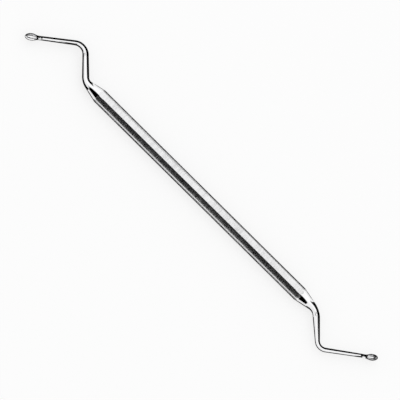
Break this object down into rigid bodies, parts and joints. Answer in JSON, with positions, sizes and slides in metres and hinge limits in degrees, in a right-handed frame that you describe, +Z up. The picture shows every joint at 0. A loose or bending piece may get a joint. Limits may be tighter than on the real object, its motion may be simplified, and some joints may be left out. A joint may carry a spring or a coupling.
{
  "type": "dental curette",
  "caption": "Double-ended surgical curette: an octagonal steel handle with an angled, tapering shank and a small sharp-rimmed spoon at each end, both bent in one plane.",
  "frame": {"origin": "on the facet that the handle rests on, under the middle of the handle's full octagonal section", "axes": "+X along the handle, towards the end with the smaller spoon; +Y towards the side to which the elbow of the larger spoon's shank bulges; +Z up, the way both spoons open"},
  "size_m": [0.1761, 0.0205, 0.0054],
  "materials": {
    "stainless_steel": "polished spoons, shanks and cones; fine cross-ground satin facets on the octagonal handle"
  },
  "bodies": {
    "root": {"curette": "stainless_steel"}
  },
  "joints": []
}
